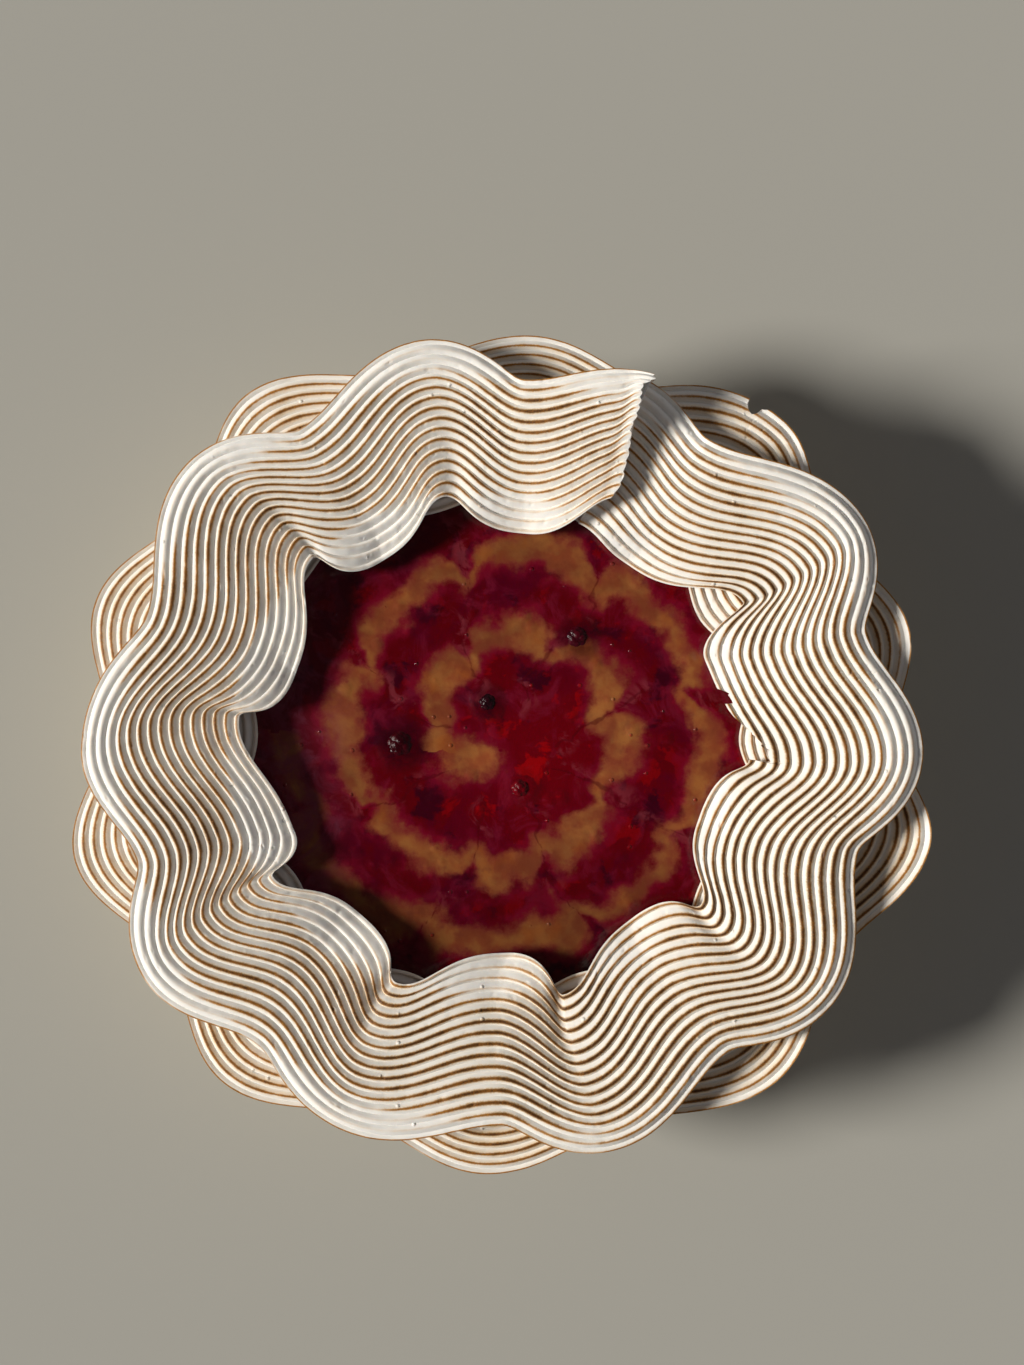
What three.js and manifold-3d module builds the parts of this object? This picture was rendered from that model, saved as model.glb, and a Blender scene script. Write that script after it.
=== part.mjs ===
// Round cheesecake, 230 mm across, with a marbled berry jelly centre and two piped meringue ribbons round its rim.
// Millimetres, +Z up. The origin is the centre of the underside. Angles run anticlockwise from +X, seen from above.
import * as THREE from 'three';
import { mergeVertices } from 'three/addons/utils/BufferGeometryUtils.js';
import Module from 'manifold-3d';

// The baked cake: a low drum with a shallow well in its top that holds the jelly.
const CAKE_RADIUS = 95.5;
const CAKE_HEIGHT = 48;
const CAKE_EDGE_ROUND = 3;
const WELL_RADIUS = 70;
const WELL_DEPTH = 8;
const FIT_GAP = 0.3;

// A comb-shaped piping tip leaves a flat ribbon with sixteen sharp crests and fifteen hollow grooves between them.
const CREST_COUNT = 16;
const GROOVE_DEPTH = 1.0;
const RIBBON_THICKNESS = 4.2;

// Berries half sunk in the jelly: place in plan and half width. Each stands proud by BERRY_PROUD.
const BERRY_PROUD = 2.0;
const BERRY_HALF_HEIGHT = 3.6;
const BERRIES = [
  { name: 'berry_left', x: -26.6, y: 1.8, halfWidth: 4.6, turn: 20 },
  { name: 'berry_upper', x: 20.4, y: 30.2, halfWidth: 3.9, turn: 75 },
  { name: 'berry_middle', x: -3.4, y: 12.8, halfWidth: 3.1, turn: 130 },
  { name: 'berry_lower', x: 5.2, y: -10.0, halfWidth: 3.3, turn: 10 },
];

// Piped by hand, so every wave of the ribbon has its own place. Each row is one turning point of the hand, in order
// of angle: the angle and the radius of the ribbon's outer edge, then of its inner edge, then how tightly the inner
// edge folds on the way to the next row. The rows are in turn an outward swing, where the inner edge pinches into a
// notch, and an inward swing, where it makes a round lobe.
const UPPER_TURNS = [
  [67.1, 105.0, 64.6, 72.4, 0.3], [86.1, 96.7, 84.0, 57.5, 0.5],
  [101.6, 108.9, 102.4, 68.1, 0.3], [121.7, 98.5, 121.7, 58.8, 0.95],
  [137.8, 110.5, 134.0, 70.2, 0.3], [159.0, 98.3, 159.6, 57.5, 0.95],
  [180.0, 108.7, 172.3, 68.6, 0.1], [196.6, 98.3, 201.8, 58.0, 0.95],
  [212.7, 109.5, 208.5, 67.6, 0.3], [230.5, 98.5, 229.4, 56.4, 0.8],
  [247.7, 106.3, 245.5, 66.0, 0.3], [270.1, 96.7, 271.8, 53.0, 0.9],
  [286.8, 107.6, 284.5, 65.5, 0.2], [306.9, 97.8, 307.4, 55.9, 0.9],
  [323.5, 108.7, 322.5, 65.8, 0.3], [344.2, 96.7, 340.7, 55.1, 0.8],
  [360.0, 110.2, 358.2, 65.0, 0.2], [377.8, 100.1, 383.5, 58.9, 0.9],
  [392.7, 112.6, 391.5, 74.4, 0.3], [416.3, 97.8, 416.0, 59.4, 0.0],
  [431.0, 105.0, 431.0, 63.0, 0.0],
];
// The lower ribbon swings the opposite way, so its outer lobes show in the hollows of the upper one.
// Each row is the angle and radius of an outer lobe, and the radius of the inner lobe before it.
const LOWER_LOBES = [
  [85.0, 110.6, 63], [125.0, 116.2, 65], [159.6, 114.6, 68], [194.3, 116.7, 64], [230.0, 114.8, 63],
  [267.8, 112.5, 63], [309.7, 113.8, 62], [347.6, 116.2, 63], [377.2, 112.7, 63], [409.4, 115.6, 63],
];
const LOWER_SEAM = 67;
const LOWER_SEAM_LAP = 1.5;
const LOWER_LAST_LEAN = -0.5;
const LOWER_HOLLOW_RADIUS = 104.5;
const LOWER_LAST_INNER_LOBE = 63;
const LOWER_INNER_NOTCH_RADIUS = 71;
const LOWER_FOLD = 0.3;

// Heights of the ribbons' crests.
const LOWER_TOP = CAKE_HEIGHT + FIT_GAP + 4.0;
const LOWER_SEAT = LOWER_TOP + FIT_GAP;
const LOWER_OUTER_DROOP = 1.8;
const UPPER_CROWN = CAKE_HEIGHT + 14.8;
const UPPER_CROWN_AT = 0.12;
const UPPER_OUTER_DROOP = 1.2;
const UPPER_LOBE_DROOP = 8.7;
const UPPER_INNER_CURVE = 1.25;
const UPPER_NOTCH_DROOP = 3.8;
const UPPER_CREASE_DEPTH = 1.4;
const UPPER_END_LIFT = 5.0;
const UPPER_END_LIP = 1.4;
const UPPER_END_CUT = 1.45;
const UPPER_EARLY = 2.0;
const UPPER_WIDENING = 0.7;
const UPPER_START_DIP = 2.7;
const UPPER_START_EDGE_DIP = 2.6;

const smooth = (a, b, x) => {
  const t = Math.min(1, Math.max(0, (x - a) / (b - a)));
  return t * t * (3 - 2 * t);
};
const mix = (a, b, t) => a + (b - a) * t;

// How far a wave leans away from a plain sine: broad round lobes outside, folded more and more tightly inside.
function pinch(across, fold, broad) {
  return mix(broad, 0.8 * fold, 0.45 * smooth(0, 0.5, across) + 0.55 * smooth(0.4, 0.95, across));
}

// A finer wave on top of the lean, which keeps the tight inner turns round like a hairpin.
function hairpin(across, fold) {
  return 0.25 * fold * smooth(0.35, 1, across);
}

// Plan position on a ribbon. turn counts the rows of turning points, and across runs from 0 outside to 1 inside.
function planPoint(ribbon, turn, across) {
  const { turns, firstSwing, outerLean, notchSharpness, endCut, earliness, widening } = ribbon;
  const row = Math.min(turns.length - 2, Math.max(0, Math.floor(turn)));
  const t = turn - row;
  const outward = (row + firstSwing) % 2 === 0;
  const [a, b] = [turns[row], turns[row + 1]];
  const fromNotch = outward ? t : 1 - t;
  const pinched = pinch(across, a[4], (a[5] ?? 0) + outerLean[outward ? 0 : 1]);
  const bend = pinched * Math.sin(Math.PI * fromNotch)
    - (hairpin(across, a[4]) / 3) * Math.sin(3 * Math.PI * fromNotch);
  const lean = (bend / Math.PI) * (outward ? -1 : 1);
  const from = mix(a[0], a[2], across);
  const to = mix(b[0], b[2], across);
  // The end was cut off slightly hollow, which leaves a pointed tip at its outer corner.
  const cut = endCut * smooth(0.25, 0, turn) * smooth(0, 0.14, across) * smooth(1, 0.45, across);
  const swing = (1 + Math.cos(Math.PI * fromNotch)) / 2;
  // The middle ridges turn a little before the two edges do, and swing a little wider.
  const early = earliness * mix(1, 0.5, swing) * smooth(0, 0.5, across) * smooth(1, 0.85, across)
    * smooth(1, 2, turn);
  const wider = widening * (2 * swing - 1) * smooth(0, 0.35, across) * smooth(1, 0.6, across);
  const angle = THREE.MathUtils.degToRad(from + (to - from) * (t + lean) + cut - early);
  const sharper = swing ** mix(1, notchSharpness, across);
  const outer = outward ? mix(b[1], a[1], swing) : mix(a[1], b[1], swing);
  const inner = outward ? mix(b[3], a[3], sharper) : mix(a[3], b[3], sharper);
  const radius = mix(outer, inner, across) + wider;
  return [radius * Math.cos(angle), radius * Math.sin(angle)];
}

// 1 at an outward swing and -1 at an inward one.
const swingAt = (turn) => Math.cos(Math.PI * turn);

function upperHeight(turn, across) {
  const swing = swingAt(turn);
  const outside = Math.max(0, UPPER_CROWN_AT - across) / UPPER_CROWN_AT;
  const inside = Math.max(0, across - UPPER_CROWN_AT) / (1 - UPPER_CROWN_AT);
  const innerDroop = mix(UPPER_LOBE_DROOP, UPPER_NOTCH_DROOP, ((1 + swing) / 2) ** 0.7);
  // The fold that takes up the inner edge's spare length: a narrow crease just before each outward swing.
  const fromCrease = ((turn + 0.17 + 1) % 2) - 1;
  const crease = UPPER_CREASE_DEPTH * Math.exp(-((fromCrease / 0.2) ** 2)) * smooth(0.35, 0.95, across);
  // The ribbon's end lies on top of its start.
  const endLift = UPPER_END_LIFT * smooth(1.3, 0, turn) * mix(1, 0.93, across)
    + UPPER_END_LIP * smooth(0.2, 0, turn) * mix(1, 0.6, across);
  const startDip = UPPER_START_DIP * smooth(18.9, 19.7, turn) * mix(1, 0.35, across)
    + UPPER_START_EDGE_DIP * smooth(18.5, 19.3, turn) * smooth(0.4, 0, across);
  return UPPER_CROWN - UPPER_OUTER_DROOP * outside ** 2 * mix(0.6, 1.2, (1 + swing) / 2)
    - innerDroop * inside ** UPPER_INNER_CURVE - crease + endLift - startDip;
}

// Underneath, the upper ribbon is full where it beds down on the lower one and thin at its free edges.
function upperUnderside(turn, across) {
  const top = upperHeight(turn, across);
  const bedded = smooth(0.1, 0.3, across) * smooth(0.86, 0.66, across) * smooth(0.5, 1.6, turn);
  const edge = top - RIBBON_THICKNESS;
  return Math.min(edge, mix(edge, LOWER_SEAT, bedded));
}

function lowerHeight(turn, across) {
  const outside = Math.max(0, 0.35 - across) / 0.35;
  return LOWER_TOP - LOWER_OUTER_DROOP * outside ** 2;
}

// The lower ribbon's turning points: a lobe at each listed angle and a hollow midway between neighbours.
function lowerTurns() {
  const rows = [];
  LOWER_LOBES.forEach(([angle, radius, innerLobe], i) => {
    const before = i === 0 ? LOWER_SEAM : (LOWER_LOBES[i - 1][0] + angle) / 2;
    rows.push([before, LOWER_HOLLOW_RADIUS, before, innerLobe, LOWER_FOLD]);
    const lean = i === LOWER_LOBES.length - 1 ? LOWER_LAST_LEAN : 0;
    rows.push([angle, radius, angle, LOWER_INNER_NOTCH_RADIUS, LOWER_FOLD, lean]);
  });
  const end = LOWER_SEAM + 360 + LOWER_SEAM_LAP;
  rows.push([end, LOWER_HOLLOW_RADIUS, end, LOWER_LAST_INNER_LOBE, LOWER_FOLD]);
  return rows;
}

// Places across the ribbon's top, alternately a crest and a groove, as far as grooved. The rest is plain.
function topPlaces(grooved) {
  const count = 2 * CREST_COUNT - 2;
  const places = [];
  for (let j = 0; j <= count * grooved; j += 1) {
    places.push({ across: j / count, groove: j % 2 === 1 ? GROOVE_DEPTH : 0 });
  }
  for (let across = grooved + 0.15; grooved < 1 && across < 1.01; across += (1 - grooved) / 3) {
    places.push({ across: Math.min(1, across), groove: 0 });
  }
  return places;
}

// A closed ribbon: rows of points round its section, joined along its length, with a cap at each end.
function ribbonGeometry({ ribbon, top, underside, grooved, first, last, steps }) {
  const onTop = topPlaces(grooved);
  const underAcross = [0.985, 0.8, 0.5, 0.2, 0.015];
  const ring = onTop.length + underAcross.length;
  const positions = [];
  for (let i = 0; i <= steps; i += 1) {
    const turn = mix(first, last, i / steps);
    onTop.forEach(({ across, groove }) => {
      positions.push(...planPoint(ribbon, turn, across), top(turn, across) - groove);
    });
    underAcross.forEach((across) => {
      positions.push(...planPoint(ribbon, turn, across), underside(turn, across));
    });
  }
  const index = [];
  for (let i = 0; i < steps; i += 1) {
    for (let j = 0; j < ring; j += 1) {
      const a = i * ring + j;
      const b = i * ring + ((j + 1) % ring);
      index.push(a, a + ring, b, b, a + ring, b + ring);
    }
  }
  // A cap is a strip between the top row and the underside row, advancing on whichever lags behind.
  const addCap = (start, flip) => {
    const add = (a, b, c) => index.push(start + a, start + (flip ? c : b), start + (flip ? b : c));
    let j = 0;
    let k = ring - 1;
    while (j < onTop.length - 1 || k > onTop.length) {
      const underNext = k > onTop.length ? underAcross[k - 1 - onTop.length] : 2;
      const topNext = j < onTop.length - 1 ? onTop[j + 1].across : 2;
      if (topNext <= underNext) {
        add(k, j, j + 1);
        j += 1;
      } else {
        add(k, j, k - 1);
        k -= 1;
      }
    }
  };
  addCap(0, false);
  addCap(steps * ring, true);
  const geometry = new THREE.BufferGeometry();
  geometry.setAttribute('position', new THREE.Float32BufferAttribute(positions, 3));
  geometry.setIndex(index);
  return geometry;
}

function cakeGeometry() {
  const profile = [[0, 0], [CAKE_RADIUS - 1.5, 0], [CAKE_RADIUS, 1.5]];
  const roundSteps = 3;
  for (let i = 0; i <= roundSteps; i += 1) {
    const turn = (Math.PI / 2) * (i / roundSteps);
    profile.push([
      CAKE_RADIUS - CAKE_EDGE_ROUND * (1 - Math.cos(turn)),
      CAKE_HEIGHT - CAKE_EDGE_ROUND * (1 - Math.sin(turn)),
    ]);
  }
  profile.push([WELL_RADIUS, CAKE_HEIGHT], [WELL_RADIUS, CAKE_HEIGHT - WELL_DEPTH], [0, CAKE_HEIGHT - WELL_DEPTH]);
  const lathe = new THREE.LatheGeometry(profile.map(([r, z]) => new THREE.Vector2(r, z)), 60);
  return lathe.rotateX(Math.PI / 2);
}

// A berry made of small round cells: a squashed ball whose surface swells and sinks in rows.
function berryGeometry(halfWidth, grow) {
  const ball = new THREE.SphereGeometry(1, 12, 7);
  const at = ball.attributes.position;
  const point = new THREE.Vector3();
  for (let i = 0; i < at.count; i += 1) {
    point.fromBufferAttribute(at, i);
    const round = Math.atan2(point.z, point.x);
    const cell = Math.cos(round * 6) * Math.sin(point.y * 9) * (1 - point.y ** 2);
    const swell = 1 + (grow === 0 ? 0.05 * cell : 0);
    at.setXYZ(i, point.x * swell * (halfWidth + grow), point.z * swell * (halfWidth + grow),
      -point.y * (BERRY_HALF_HEIGHT + grow));
  }
  return ball;
}

const wasm = await Module();
wasm.setup();

function toSolid(geometry) {
  const bare = geometry.clone();
  bare.deleteAttribute('normal');
  bare.deleteAttribute('uv');
  const merged = mergeVertices(bare, 1e-4);
  return new wasm.Manifold(new wasm.Mesh({
    numProp: 3,
    vertProperties: new Float32Array(merged.attributes.position.array),
    triVerts: new Uint32Array(merged.index.array),
  }));
}

function fromSolid(solid) {
  const mesh = solid.getMesh();
  const geometry = new THREE.BufferGeometry();
  geometry.setAttribute('position', new THREE.BufferAttribute(mesh.vertProperties, 3));
  geometry.setIndex(new THREE.BufferAttribute(mesh.triVerts, 1));
  return geometry;
}

const berryCentreZ = CAKE_HEIGHT + BERRY_PROUD - BERRY_HALF_HEIGHT;

function placeBerry(geometry, berry) {
  return geometry
    .rotateZ(THREE.MathUtils.degToRad(berry.turn))
    .translate(berry.x, berry.y, berryCentreZ);
}

// The jelly fills the well flush with the rim, with a pocket round each berry.
function jellyGeometry() {
  const depth = WELL_DEPTH - FIT_GAP;
  const disc = new THREE.CylinderGeometry(WELL_RADIUS - FIT_GAP, WELL_RADIUS - FIT_GAP, depth, 60)
    .rotateX(Math.PI / 2)
    .translate(0, 0, CAKE_HEIGHT - depth / 2);
  let jelly = toSolid(disc);
  BERRIES.forEach((berry) => {
    jelly = jelly.subtract(toSolid(placeBerry(berryGeometry(berry.halfWidth, 2 * FIT_GAP), berry)));
  });
  return fromSolid(jelly);
}

const meringue = new THREE.MeshStandardMaterial({ color: 0xf3ece0, roughness: 0.75, metalness: 0 });
const bakedCheese = new THREE.MeshStandardMaterial({ color: 0xecd9ac, roughness: 0.8, metalness: 0 });
const berryJelly = new THREE.MeshStandardMaterial({ color: 0x7a0a22, roughness: 0.12, metalness: 0 });
const berrySkin = new THREE.MeshStandardMaterial({ color: 0x2c0512, roughness: 0.3, metalness: 0 });

const group = new THREE.Group();

function addMesh(name, geometry, material) {
  const mesh = new THREE.Mesh(geometry, material);
  mesh.name = name;
  group.add(mesh);
}

addMesh('cheesecake_body', cakeGeometry(), bakedCheese);
addMesh('jelly_top', jellyGeometry(), berryJelly);
BERRIES.forEach((berry) => {
  addMesh(berry.name, placeBerry(berryGeometry(berry.halfWidth, 0), berry), berrySkin);
});

// firstSwing is 0 where a ribbon's first row is an outward swing and 1 where it is an inward one. outerLean is the
// outer edge's lean after each kind of swing.
addMesh('ruffle_lower', ribbonGeometry({
  ribbon: {
    turns: lowerTurns(), firstSwing: 1, outerLean: [0, 0], notchSharpness: 1, endCut: 0, earliness: 0, widening: 0,
  },
  top: lowerHeight,
  underside: (turn, across) => lowerHeight(turn, across) - (LOWER_TOP - CAKE_HEIGHT - FIT_GAP),
  grooved: 0.6,
  first: 0.07,
  last: 19.93,
  steps: 80,
}), meringue);
addMesh('ruffle_upper', ribbonGeometry({
  ribbon: {
    turns: UPPER_TURNS, firstSwing: 0, outerLean: [-0.1, -0.4], notchSharpness: 1.5,
    endCut: UPPER_END_CUT, earliness: UPPER_EARLY, widening: UPPER_WIDENING,
  },
  top: upperHeight,
  underside: upperUnderside,
  grooved: 1,
  first: 0,
  last: 20,
  steps: 104,
}), meringue);

export default group;
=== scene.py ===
# %% [markdown]
# # A round cheesecake with toasted meringue ruffles
#
# The cake is a low round drum. Its top is a pool of glossy berry jelly marbled with ochre curd, and round
# the rim lie two wide ribbons of piped meringue, one on the other, each swinging in and out like a frill.
# The tips of the ribbons' ridges have been browned with a torch.
#
# The solids of the model give every size and place. This script makes the finer surfaces: the ridges of
# the ribbons with their browning, the marbling and the wet gloss of the jelly, the cells of the berries
# and the baked side of the cake. The solids are loaded first.

import math

import bpy
import numpy as np
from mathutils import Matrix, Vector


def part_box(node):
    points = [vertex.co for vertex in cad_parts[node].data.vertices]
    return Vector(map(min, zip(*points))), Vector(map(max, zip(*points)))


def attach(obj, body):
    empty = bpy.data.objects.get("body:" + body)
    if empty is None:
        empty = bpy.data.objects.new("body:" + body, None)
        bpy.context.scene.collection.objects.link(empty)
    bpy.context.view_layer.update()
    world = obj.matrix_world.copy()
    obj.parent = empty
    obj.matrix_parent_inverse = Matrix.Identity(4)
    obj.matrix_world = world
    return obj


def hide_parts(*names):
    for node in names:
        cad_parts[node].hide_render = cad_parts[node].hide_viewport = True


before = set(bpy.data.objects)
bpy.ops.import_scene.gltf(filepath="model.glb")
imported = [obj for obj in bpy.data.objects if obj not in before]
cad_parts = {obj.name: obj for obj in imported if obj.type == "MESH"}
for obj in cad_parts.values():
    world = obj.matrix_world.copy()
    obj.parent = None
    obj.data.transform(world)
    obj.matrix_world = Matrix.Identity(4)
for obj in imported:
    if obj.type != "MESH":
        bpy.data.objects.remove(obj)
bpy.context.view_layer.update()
MM = 0.001

# %% [markdown]
# ## Sizes
#
# The drum's radius and height, the jelly's level and radius and the berries' places are read back from
# the solids, so that nothing here can drift away from them. The ribbons need more than a box: they are
# rebuilt from the turning points of the hand that piped them, the same rows that the solids were made
# from.

# %% Sizes read from the solids
_, cake_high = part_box("cheesecake_body")
jelly_low, jelly_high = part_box("jelly_top")
CAKE_RADIUS = cake_high.x / MM
CAKE_HEIGHT = cake_high.z / MM
JELLY_RADIUS = jelly_high.x / MM
JELLY_TOP = jelly_high.z / MM
FIT_GAP = 0.3
print(f"cake radius {CAKE_RADIUS:.1f}, height {CAKE_HEIGHT:.1f}, jelly radius {JELLY_RADIUS:.1f} mm")

# %% [markdown]
# The comb tip leaves sixteen sharp crests and fifteen hollow grooves. Each row below is one turning
# point: the angle in degrees and the radius in millimetres of the outer edge, the same for the inner
# edge, and how tightly the inner edge folds on the way to the next row. Rows alternate between outward
# swings, where the inner edge pinches into a notch, and inward swings, where it makes a round lobe.

# %% The hand's turning points
CREST_COUNT = 16
PITCHES = CREST_COUNT - 1
RIBBON_THICKNESS = 4.2
UPPER_TURNS = [
    (67.1, 105.0, 64.6, 72.4, 0.3), (86.1, 96.7, 84.0, 57.5, 0.5),
    (101.6, 108.9, 102.4, 68.1, 0.3), (121.7, 98.5, 121.7, 58.8, 0.95),
    (137.8, 110.5, 134.0, 70.2, 0.3), (159.0, 98.3, 159.6, 57.5, 0.95),
    (180.0, 108.7, 172.3, 68.6, 0.1), (196.6, 98.3, 201.8, 58.0, 0.95),
    (212.7, 109.5, 208.5, 67.6, 0.3), (230.5, 98.5, 229.4, 56.4, 0.8),
    (247.7, 106.3, 245.5, 66.0, 0.3), (270.1, 96.7, 271.8, 53.0, 0.9),
    (286.8, 107.6, 284.5, 65.5, 0.2), (306.9, 97.8, 307.4, 55.9, 0.9),
    (323.5, 108.7, 322.5, 65.8, 0.3), (344.2, 96.7, 340.7, 55.1, 0.8),
    (360.0, 110.2, 358.2, 65.0, 0.2), (377.8, 100.1, 383.5, 58.9, 0.9),
    (392.7, 112.6, 391.5, 74.4, 0.3), (416.3, 97.8, 416.0, 59.4, 0.0),
    (431.0, 105.0, 431.0, 63.0, 0.0),
]
LOWER_LOBES = [
    (85.0, 110.6, 63), (125.0, 116.2, 65), (159.6, 114.6, 68), (194.3, 116.7, 64), (230.0, 114.8, 63),
    (267.8, 112.5, 63), (309.7, 113.8, 62), (347.6, 116.2, 63), (377.2, 112.7, 63), (409.4, 115.6, 63),
]
LOWER_SEAM = 67.0
LOWER_SEAM_LAP = 1.5
LOWER_LAST_LEAN = -0.5
LOWER_HOLLOW_RADIUS = 104.5
LOWER_LAST_INNER_LOBE = 63.0
LOWER_INNER_NOTCH_RADIUS = 71.0
LOWER_FOLD = 0.3


def lower_turns():
    """Rows of turning points: for each listed lobe the hollow before it, then the lobe itself."""
    rows = []
    for i, (angle, radius, inner_lobe) in enumerate(LOWER_LOBES):
        before = LOWER_SEAM if i == 0 else (LOWER_LOBES[i - 1][0] + angle) / 2
        lean = LOWER_LAST_LEAN if i == len(LOWER_LOBES) - 1 else 0.0
        rows.append((before, LOWER_HOLLOW_RADIUS, before, inner_lobe, LOWER_FOLD, 0.0))
        rows.append((angle, radius, angle, LOWER_INNER_NOTCH_RADIUS, LOWER_FOLD, lean))
    end = LOWER_SEAM + 360 + LOWER_SEAM_LAP
    rows.append((end, LOWER_HOLLOW_RADIUS, end, LOWER_LAST_INNER_LOBE, LOWER_FOLD, 0.0))
    return rows


PLAIN = dict(outer_lean=(0.0, 0.0), sharpness=1.0, end_cut=0.0, gather=0.0, earliness=0.0, widening=0.0)
LOWER = dict(PLAIN, turns=lower_turns(), first_swing=1, inset=0.45)
UPPER = dict(
    turns=[(*row, 0.0) for row in UPPER_TURNS],
    first_swing=0,
    outer_lean=(-0.1, -0.4),
    sharpness=1.5,
    end_cut=1.45,
    gather=0.25,
    earliness=2.0,
    widening=0.7,
    inset=0.0,
)
print(f"{len(UPPER_TURNS)} turning points above and {len(LOWER['turns'])} below")

# %% [markdown]
# ## Helpers
#
# Food is never even, so most forms here carry soft noise: random heights on a grid, joined by smooth
# steps. The grid is seeded, so every run gives the same cake. Meshes are built from whole arrays, which
# keeps grids of a hundred thousand points quick.


# %% Smooth steps and soft noise
NOISE_GRID = 257


def smooth(a, b, x):
    """0 up to a and 1 from b on, with a soft step between them. It falls instead where b is less than a."""
    t = np.clip((np.asarray(x, float) - a) / (b - a), 0.0, 1.0)
    return t * t * (3 - 2 * t)


def mix(a, b, t):
    return a + (b - a) * t


def soft_noise(x, y, cell, seed):
    """Noise from -1 to 1 that changes over about one cell. x and y are in the cell's unit."""
    heights = np.random.default_rng(seed).uniform(-1, 1, (NOISE_GRID, NOISE_GRID))
    u = np.asarray(x, float) / cell
    v = np.asarray(y, float) / cell
    iu = np.floor(u).astype(int)
    iv = np.floor(v).astype(int)
    fu = smooth(0, 1, u - iu)
    fv = smooth(0, 1, v - iv)

    def at(i, j):
        return heights[i % NOISE_GRID, j % NOISE_GRID]

    low = mix(at(iu, iv), at(iu + 1, iv), fu)
    high = mix(at(iu, iv + 1), at(iu + 1, iv + 1), fu)
    return mix(low, high, fv)


def rough_noise(x, y, cell, seed):
    return (
        soft_noise(x, y, cell, seed)
        + 0.5 * soft_noise(x, y, cell / 2.1, seed + 1)
        + 0.25 * soft_noise(x, y, cell / 4.3, seed + 2)
    ) / 1.75


some_noise = rough_noise(np.arange(500), 0.5 * np.arange(500), 10, 1)
print(f"rough noise runs from {some_noise.min():.2f} to {some_noise.max():.2f}")

# %% Mesh helpers
SHARP_ANGLE = 62


def make_mesh(name, points_mm, faces, fields=None, sharp_angle=SHARP_ANGLE):
    """An object from an array of points in mm, with one number per point stored for each field."""
    mesh = bpy.data.meshes.new(name)
    mesh.from_pydata((np.asarray(points_mm) * MM).tolist(), [], faces)
    mesh.polygons.foreach_set("use_smooth", np.ones(len(mesh.polygons), bool))
    for field, values in (fields or {}).items():
        attribute = mesh.attributes.new(field, "FLOAT", "POINT")
        attribute.data.foreach_set("value", np.asarray(values, np.float32).ravel())
    mesh.update()
    mesh.set_sharp_from_angle(angle=math.radians(sharp_angle))
    piece = bpy.data.objects.new(name, mesh)
    bpy.context.scene.collection.objects.link(piece)
    return piece


def grid_faces(rows, columns, wrap_columns):
    """Quads of a grid stored row by row, joined round its columns where asked."""
    i = np.arange(rows - 1)[:, None]
    j = np.arange(columns if wrap_columns else columns - 1)[None, :]
    after = (j + 1) % columns
    a = i * columns + j
    b = i * columns + after
    quads = np.stack([a, a + columns, b + columns, b], axis=-1)
    return quads.reshape(-1, 4).tolist()


open_quads = len(grid_faces(3, 4, False))
joined_quads = len(grid_faces(3, 4, True))
print(f"a grid of 3 by 4 points has {open_quads} quads, and {joined_quads} when joined round")

# %% [markdown]
# ## Short words for nodes
#
# A finish is a net of nodes. Written out, each node takes four or five lines, and the idea is lost among
# them. So each kind of node gets a short word. A word takes numbers or the outputs of other nodes, and
# gives back an output.

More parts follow.
